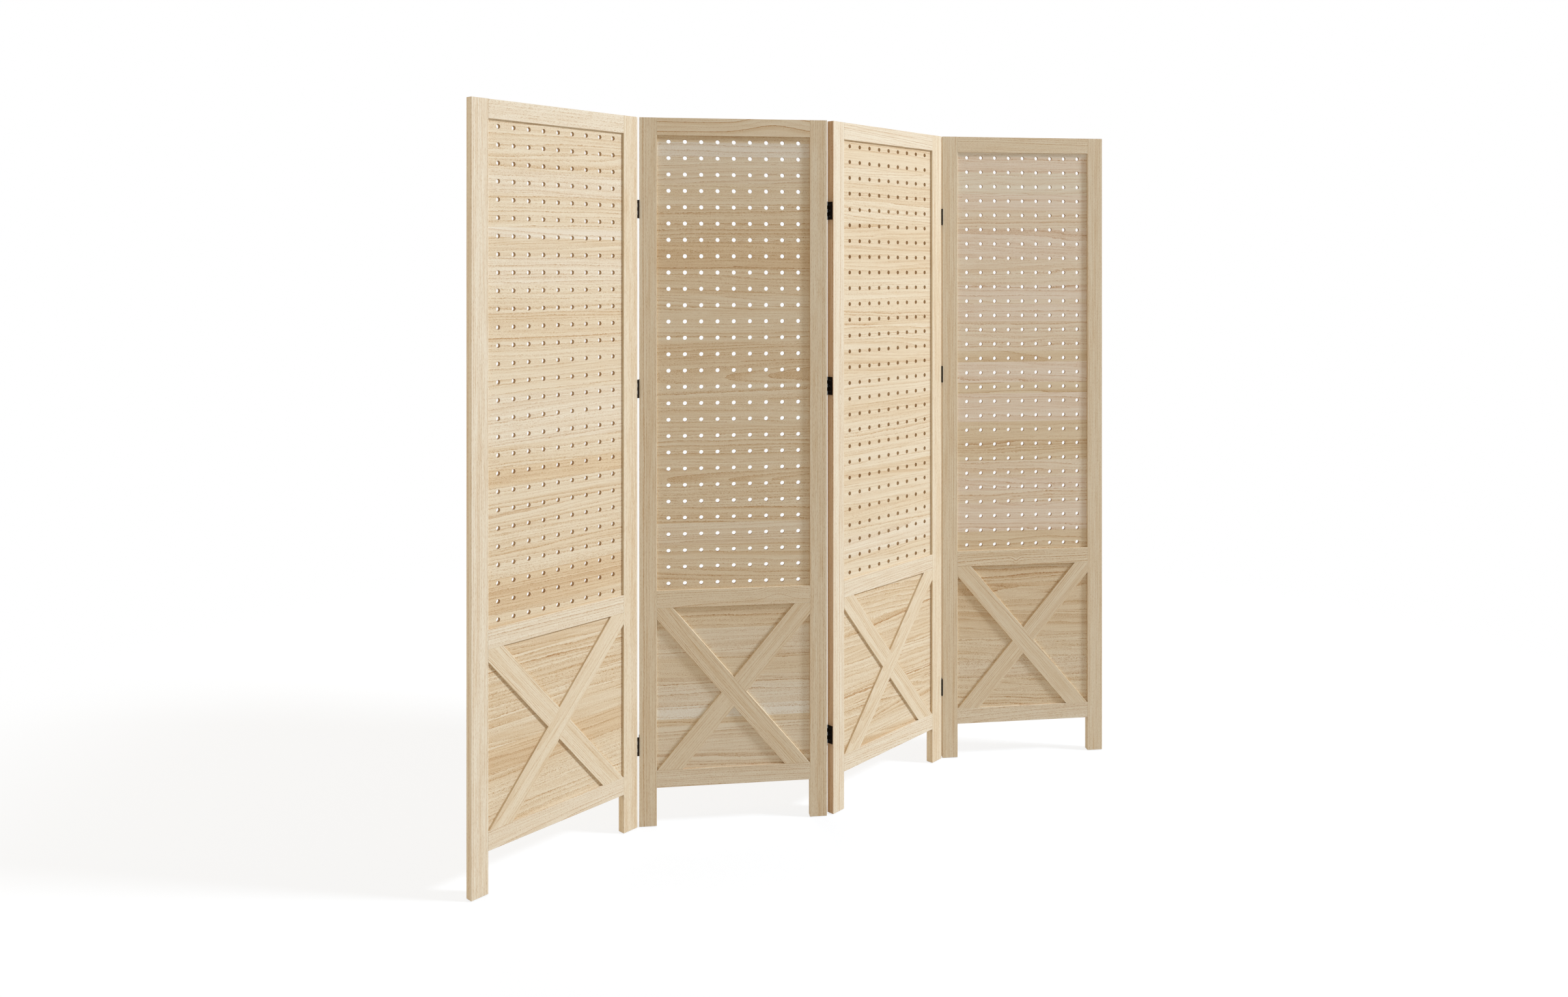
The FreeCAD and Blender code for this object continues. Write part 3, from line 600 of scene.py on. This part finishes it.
def makeHardware(name):
    look = hardwareSettings[name]
    wear = wearSettings
    material, tree, output = newMaterial(name + "Finish")
    place = addNode(tree, "ShaderNodeTexCoord").outputs["Object"]
    speckle, patches = (scaledNoise(tree, place, (size,) * 3, detail=3.0, roughness=wear["noiseRoughness"])
                        for size in (look["grainSize"], look["grainSize"] * wear["patchSize"]))
    worn = calc(tree, "MULTIPLY", smoothStep(tree, patches, *wear["patchRange"]),
                smoothStep(tree, speckle, *wear["speckleRange"]))
    colour = mixColours(tree, worn, look["colour"], look["wornColour"])
    roughness = calc(tree, "MULTIPLY_ADD", speckle, wear["roughnessSpan"],
                     look["roughness"] - wear["roughnessBelow"])
    finishSurface(tree, output, colour, roughness, speckle, wear, look["specular"], look["metallic"])
    return material


finishes = {name: makeHardware(name) for name in hardwareSettings}
for joint in ("1_2", "2_3", "3_4"):
    for side in ("left", "right"):
        dress(f"hinges_{joint}_{side}_leaves", finishes["leaf"])
    dress(f"hinges_{joint}_pins", finishes["pin"])
for number in stands:
    dress(f"panel_{number}_hinge_screws", finishes["screw"])
    dress(f"panel_{number}_foot_glides", finishes["glide"])
print("hardware dressed")


# Floor, world and lamps

stageSettings = {
    "floorSize": 60.0,
    "floorColour": (0.62, 0.60, 0.57, 1),    # what lights the wood from below
    "seenDiffuse": (0.28, 0.28, 0.28, 1),    # what the camera sees, with the glow
    "seenGlow": (0.748, 0.762, 0.777, 1),
    "shadowFade": (1.7, 2.9),                # metres from the middle of the screen
    "white": (1, 1, 1, 1),
    "ambientColour": (1.0, 0.86, 0.69, 1),
    "ambientStrength": 0.42,
}


def seenDirectly(tree):
    # 1 for what the camera sees, straight or through a reflection or glass
    path = addNode(tree, "ShaderNodeLightPath").outputs
    seen = calc(tree, "MAXIMUM", path["Is Camera Ray"], path["Is Glossy Ray"])
    return calc(tree, "MAXIMUM", seen, path["Is Transmission Ray"])


def makeFloor():
    look = stageSettings
    half = look["floorSize"] / 2
    mesh = bpy.data.meshes.new("floor")
    corners = [(-half, -half, 0), (half, -half, 0), (half, half, 0), (-half, half, 0)]
    mesh.from_pydata(corners, [], [(0, 1, 2, 3)])
    floor = bpy.data.objects.new("floor", mesh)
    scene.collection.objects.link(floor)
    material, tree, output = newMaterial("paleFloor")
    plain = addNode(tree, "ShaderNodeBsdfDiffuse", inputs={"Color": look["floorColour"]})
    shaded = addNode(tree, "ShaderNodeBsdfDiffuse", inputs={"Color": look["seenDiffuse"]})
    glow = addNode(tree, "ShaderNodeEmission", inputs={"Color": look["seenGlow"], "Strength": 1.0})
    bright = addNode(tree, "ShaderNodeAddShader", inputs={0: shaded.outputs[0], 1: glow.outputs[0]})
    # the shadow fades into plain white away from the screen
    place = addNode(tree, "ShaderNodeTexCoord").outputs["Object"]
    distance = addNode(tree, "ShaderNodeVectorMath", operation="LENGTH", inputs={0: place}).outputs["Value"]
    white = addNode(tree, "ShaderNodeEmission", inputs={"Color": look["white"], "Strength": 1.0})
    seen = addNode(tree, "ShaderNodeMixShader", inputs={0: smoothStep(tree, distance, *look["shadowFade"]),
                                                       1: bright.outputs[0], 2: white.outputs[0]})
    choice = addNode(tree, "ShaderNodeMixShader", inputs={0: seenDirectly(tree), 1: plain.outputs[0],
                                                         2: seen.outputs[0]})
    tree.links.new(choice.outputs[0], output.inputs[0])
    mesh.materials.append(material)


def makeWorld():
    look = stageSettings
    world = bpy.data.worlds.new("studio")
    scene.world = world
    world.use_nodes = True
    tree = world.node_tree
    tree.nodes.clear()
    ambient = addNode(tree, "ShaderNodeBackground", inputs={"Color": look["ambientColour"],
                                                           "Strength": look["ambientStrength"]})
    white = addNode(tree, "ShaderNodeBackground", inputs={"Color": look["white"], "Strength": 1.0})
    choice = addNode(tree, "ShaderNodeMixShader", inputs={0: seenDirectly(tree), 1: ambient.outputs[0],
                                                         2: white.outputs[0]})
    output = tree.nodes.new("ShaderNodeOutputWorld")
    tree.links.new(choice.outputs[0], output.inputs[0])


lampSettings = {
    "key": {"place": (10.96, -2.74, 7.97), "aim": (0.0, 0.0, 0.9), "size": 2.2, "power": 1570.0,
            "colour": (0.80, 0.885, 1.0)},
    "leftFill": {"place": (-5.5, -0.5, 2.0), "aim": (-0.8, -0.3, 0.8), "size": 2.4, "power": 68.0,
                 "colour": (1.0, 0.92, 0.80)},
    "backFill": {"place": (-1.5, 6.0, 3.5), "aim": (0.0, 0.1, 0.8), "size": 3.5, "power": 110.0,
                 "colour": (1.0, 0.95, 0.87)},
}


def makeLamps():
    for name, look in lampSettings.items():
        light = bpy.data.lights.new(name, "AREA")
        light.shape = "DISK"
        light.size = look["size"]
        light.energy = look["power"]
        light.color = look["colour"]
        lamp = bpy.data.objects.new(name, light)
        scene.collection.objects.link(lamp)
        lamp.location = look["place"]
        direction = Vector(look["aim"]) - Vector(look["place"])
        lamp.rotation_euler = direction.to_track_quat("-Z", "Y").to_euler()
        lamp.visible_camera = False
        lamp.visible_glossy = name == "key"


makeFloor()
makeWorld()
makeLamps()
print("stage lit")


# Camera

cameraSettings = {
    "imageSize": (2408, 1531),
    "focalLength": 1829.4,               # in pixels of the image
    "straightAhead": (1215.65, 417.95),  # the point of the image on the lens axis
    "place": (-0.4694, -2.8865, 1.3291),
    "heading": math.radians(7.53),       # turned to the right of +Y
    "sensorWidth": 36.0,
    "clipEnd": 200.0,
}


def makeCamera():
    look = cameraSettings
    width, height = look["imageSize"]
    camera = bpy.data.cameras.new("camera")
    camera.sensor_fit = "HORIZONTAL"
    camera.sensor_width = look["sensorWidth"]
    camera.lens = look["focalLength"] * look["sensorWidth"] / width
    camera.shift_x = -(look["straightAhead"][0] - width / 2) / width
    camera.shift_y = -(height / 2 - look["straightAhead"][1]) / width
    camera.clip_end = look["clipEnd"]
    holder = bpy.data.objects.new("camera", camera)
    scene.collection.objects.link(holder)
    holder.location = look["place"]
    holder.rotation_euler = (math.pi / 2, 0.0, -look["heading"])
    scene.camera = holder


makeCamera()
scene.view_settings.view_transform = "Standard"
print("camera placed")
